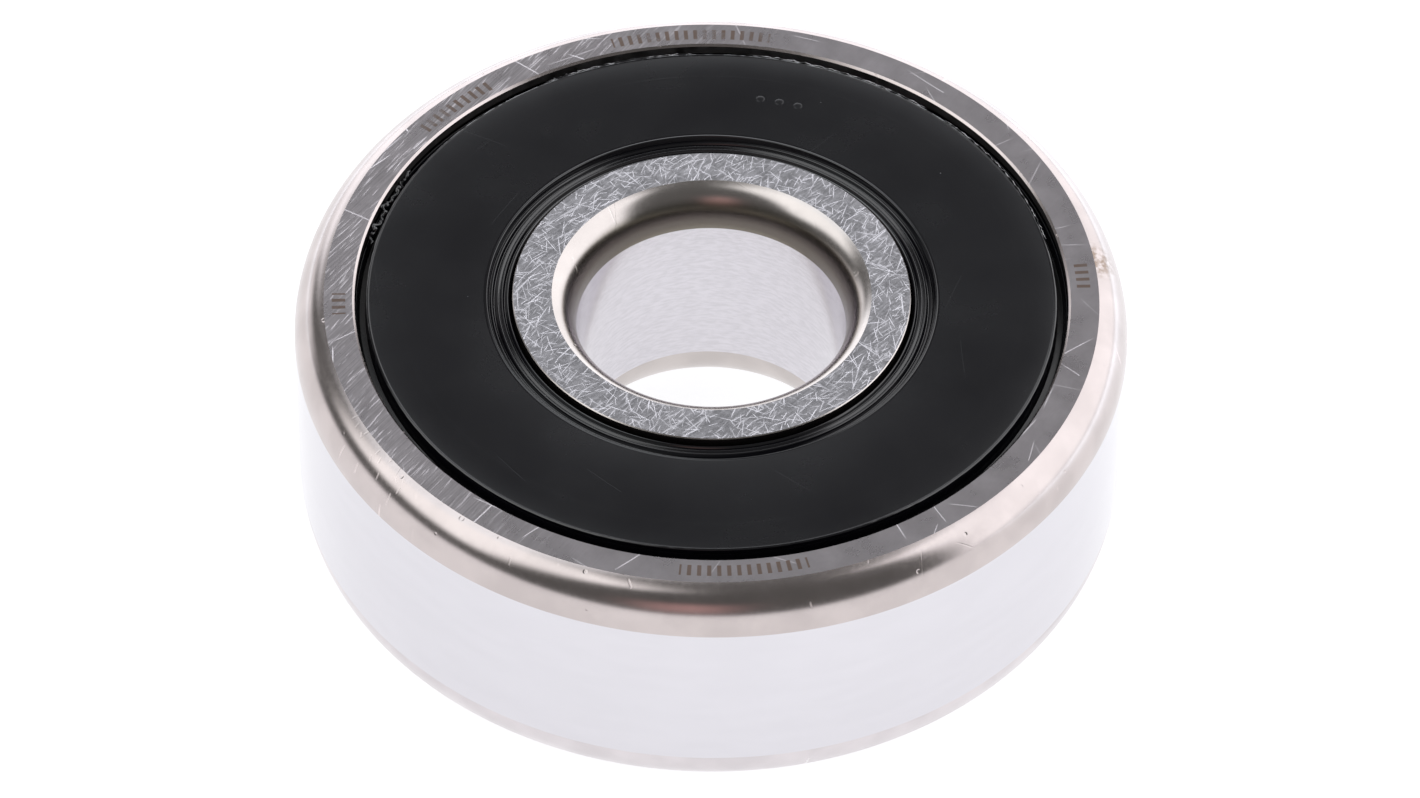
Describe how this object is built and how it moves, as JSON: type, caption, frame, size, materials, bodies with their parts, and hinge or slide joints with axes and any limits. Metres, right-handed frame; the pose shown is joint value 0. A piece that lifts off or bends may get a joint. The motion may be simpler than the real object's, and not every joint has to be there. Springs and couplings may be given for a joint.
{
  "type": "deep groove ball bearing",
  "caption": "Sealed single-row deep groove ball bearing: two steel rings, caged balls and a rubber seal on each side, for a rotating shaft.",
  "frame": {"origin": "on the shaft axis, in the plane of the lower side face", "axes": "+Z along the shaft axis, towards the upper side face; +X from the axis through the centre of ball 1"},
  "size_m": [0.037, 0.037, 0.012],
  "materials": {
    "ring_steel": "fine ground, with light handling scratches",
    "ball_steel": "lapped, mirror bright",
    "cage_steel": "pressed sheet, satin",
    "rivet_steel": "satin",
    "washer_steel": "pressed sheet, satin",
    "seal_rubber": "moulded, satin black"
  },
  "bodies": {
    "outer_ring": {"outer_ring": "ring_steel", "lower_seal_rubber": "seal_rubber", "upper_seal_rubber": "seal_rubber", "lower_seal_washer": "washer_steel", "upper_seal_washer": "washer_steel"},
    "inner_ring": {"inner_ring": "ring_steel"},
    "cage": {"lower_cage_half": "cage_steel", "upper_cage_half": "cage_steel", "cage_rivet_1": "rivet_steel", "cage_rivet_2": "rivet_steel", "cage_rivet_3": "rivet_steel", "cage_rivet_4": "rivet_steel", "cage_rivet_5": "rivet_steel", "cage_rivet_6": "rivet_steel"},
    "ball_1": {"ball_1": "ball_steel"},
    "ball_2": {"ball_2": "ball_steel"},
    "ball_3": {"ball_3": "ball_steel"},
    "ball_4": {"ball_4": "ball_steel"},
    "ball_5": {"ball_5": "ball_steel"},
    "ball_6": {"ball_6": "ball_steel"}
  },
  "joints": [
    {"name": "inner_spin", "type": "hinge", "parent": "outer_ring", "child": "inner_ring", "pos_m": [0, 0, 0.006], "axis": [0, 0, 1], "continuous": true},
    {"name": "cage_orbit", "type": "hinge", "parent": "outer_ring", "child": "cage", "pos_m": [0, 0, 0.006], "axis": [0, 0, 1], "continuous": true},
    {"name": "ball_1_spin", "type": "hinge", "parent": "cage", "child": "ball_1", "pos_m": [0.01225, 0, 0.006], "axis": [0, 0, 1], "continuous": true},
    {"name": "ball_2_spin", "type": "hinge", "parent": "cage", "child": "ball_2", "pos_m": [0.00613, 0.01061, 0.006], "axis": [0, 0, 1], "continuous": true},
    {"name": "ball_3_spin", "type": "hinge", "parent": "cage", "child": "ball_3", "pos_m": [-0.00613, 0.01061, 0.006], "axis": [0, 0, 1], "continuous": true},
    {"name": "ball_4_spin", "type": "hinge", "parent": "cage", "child": "ball_4", "pos_m": [-0.01225, 0, 0.006], "axis": [0, 0, 1], "continuous": true},
    {"name": "ball_5_spin", "type": "hinge", "parent": "cage", "child": "ball_5", "pos_m": [-0.00613, -0.01061, 0.006], "axis": [0, 0, 1], "continuous": true},
    {"name": "ball_6_spin", "type": "hinge", "parent": "cage", "child": "ball_6", "pos_m": [0.00613, -0.01061, 0.006], "axis": [0, 0, 1], "continuous": true}
  ],
  "couplings": [
    {"joint": "cage_orbit", "follows": "inner_spin", "ratio": 0.338},
    {"joint": "ball_1_spin", "follows": "inner_spin", "ratio": -1.3812},
    {"joint": "ball_2_spin", "follows": "inner_spin", "ratio": -1.3812},
    {"joint": "ball_3_spin", "follows": "inner_spin", "ratio": -1.3812},
    {"joint": "ball_4_spin", "follows": "inner_spin", "ratio": -1.3812},
    {"joint": "ball_5_spin", "follows": "inner_spin", "ratio": -1.3812},
    {"joint": "ball_6_spin", "follows": "inner_spin", "ratio": -1.3812}
  ]
}
